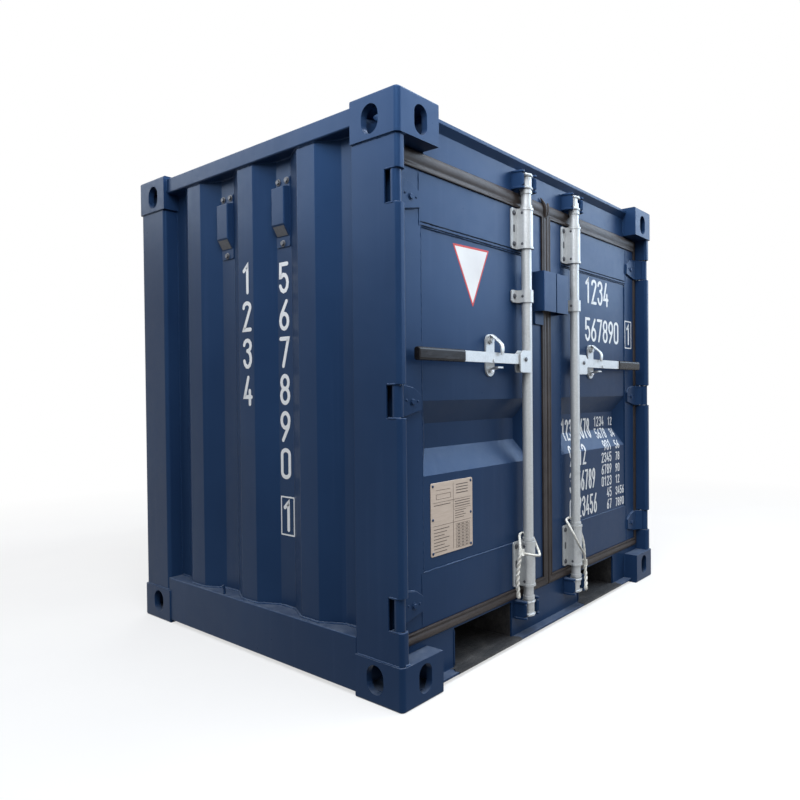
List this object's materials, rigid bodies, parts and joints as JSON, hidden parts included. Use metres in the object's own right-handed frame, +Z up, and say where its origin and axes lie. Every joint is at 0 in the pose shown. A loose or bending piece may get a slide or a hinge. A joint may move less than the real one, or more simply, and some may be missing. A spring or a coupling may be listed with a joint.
{
  "type": "small freight container",
  "caption": "Small steel freight container with crimped walls, corner castings, fork pockets and two hinged end doors with lock bars and lift handles.",
  "frame": {"origin": "centre of the footprint on the ground, under the four bottom castings", "axes": "X runs across the door end, the doors face -Y, Z is up"},
  "size_m": [1.61, 1.3515, 1.615],
  "materials": {
    "navy_paint": "satin",
    "galvanised_steel": "satin",
    "seal_rubber": "matte",
    "grip_plastic": "matte",
    "rope_fibre": "matte",
    "floor_wood": "matte",
    "pocket_coating": "matte"
  },
  "bodies": {
    "container_frame": {"bottom_castings_front": "navy_paint", "bottom_castings_rear": "navy_paint", "top_castings_front": "navy_paint", "top_left_rear_casting": "navy_paint", "top_right_rear_casting": "navy_paint", "door_posts": "navy_paint", "rear_posts": "navy_paint", "hinge_pins": "galvanised_steel", "door_header": "navy_paint", "door_sill": "navy_paint", "top_rails": "navy_paint", "bottom_rails": "navy_paint", "fork_pockets": "pocket_coating", "cross_members": "navy_paint", "left_wall": "navy_paint", "right_wall": "navy_paint", "rear_wall": "navy_paint", "roof_panel": "navy_paint", "floor": "floor_wood", "vent_covers": "navy_paint", "tie_back_hooks": "navy_paint", "cam_keepers": "navy_paint"},
    "left_door": {"left_door_frame": "navy_paint", "left_door_panel": "navy_paint", "left_door_hinges": "navy_paint", "left_door_gasket": "seal_rubber", "left_bar_brackets": "galvanised_steel", "left_handle_retainer": "galvanised_steel", "left_lock_box_half": "navy_paint", "left_tie_rope": "rope_fibre"},
    "left_lock_bar": {"left_lock_bar": "galvanised_steel"},
    "left_handle": {"left_handle": "galvanised_steel", "left_handle_grip": "grip_plastic"},
    "left_catch": {"left_handle_catch": "galvanised_steel"},
    "right_door": {"right_door_frame": "navy_paint", "right_door_panel": "navy_paint", "right_door_hinges": "navy_paint", "right_door_gasket": "seal_rubber", "right_bar_brackets": "galvanised_steel", "right_handle_retainer": "galvanised_steel", "right_lock_box_half": "navy_paint", "right_tie_rope": "rope_fibre"},
    "right_lock_bar": {"right_lock_bar": "galvanised_steel"},
    "right_handle": {"right_handle": "galvanised_steel", "right_handle_grip": "grip_plastic"},
    "right_catch": {"right_handle_catch": "galvanised_steel"}
  },
  "joints": [
    {"name": "left_door_swing", "type": "hinge", "parent": "container_frame", "child": "left_door", "pos_m": [-0.784, -0.643, 0.807], "axis": [0, 0, -1], "range_deg": [0, 240]},
    {"name": "left_bar_turn", "type": "hinge", "parent": "left_door", "child": "left_lock_bar", "pos_m": [-0.163, -0.639, 0.807], "axis": [0, 0, -1], "range_deg": [-90, 0]},
    {"name": "left_handle_lift", "type": "hinge", "parent": "left_lock_bar", "child": "left_handle", "pos_m": [-0.199, -0.645, 0.935], "axis": [0, -1, 0], "range_deg": [-10, 0]},
    {"name": "left_catch_swing", "type": "hinge", "parent": "left_door", "child": "left_catch", "pos_m": [-0.337, -0.64, 0.992], "axis": [0, -1, 0], "range_deg": [-100, 0]},
    {"name": "right_door_swing", "type": "hinge", "parent": "container_frame", "child": "right_door", "pos_m": [0.784, -0.643, 0.807], "axis": [0, 0, 1], "range_deg": [0, 240]},
    {"name": "right_bar_turn", "type": "hinge", "parent": "right_door", "child": "right_lock_bar", "pos_m": [0.163, -0.639, 0.807], "axis": [0, 0, 1], "range_deg": [-90, 0]},
    {"name": "right_handle_lift", "type": "hinge", "parent": "right_lock_bar", "child": "right_handle", "pos_m": [0.199, -0.645, 0.935], "axis": [0, 1, 0], "range_deg": [-10, 0]},
    {"name": "right_catch_swing", "type": "hinge", "parent": "right_door", "child": "right_catch", "pos_m": [0.337, -0.64, 0.992], "axis": [0, 1, 0], "range_deg": [-100, 0]}
  ]
}
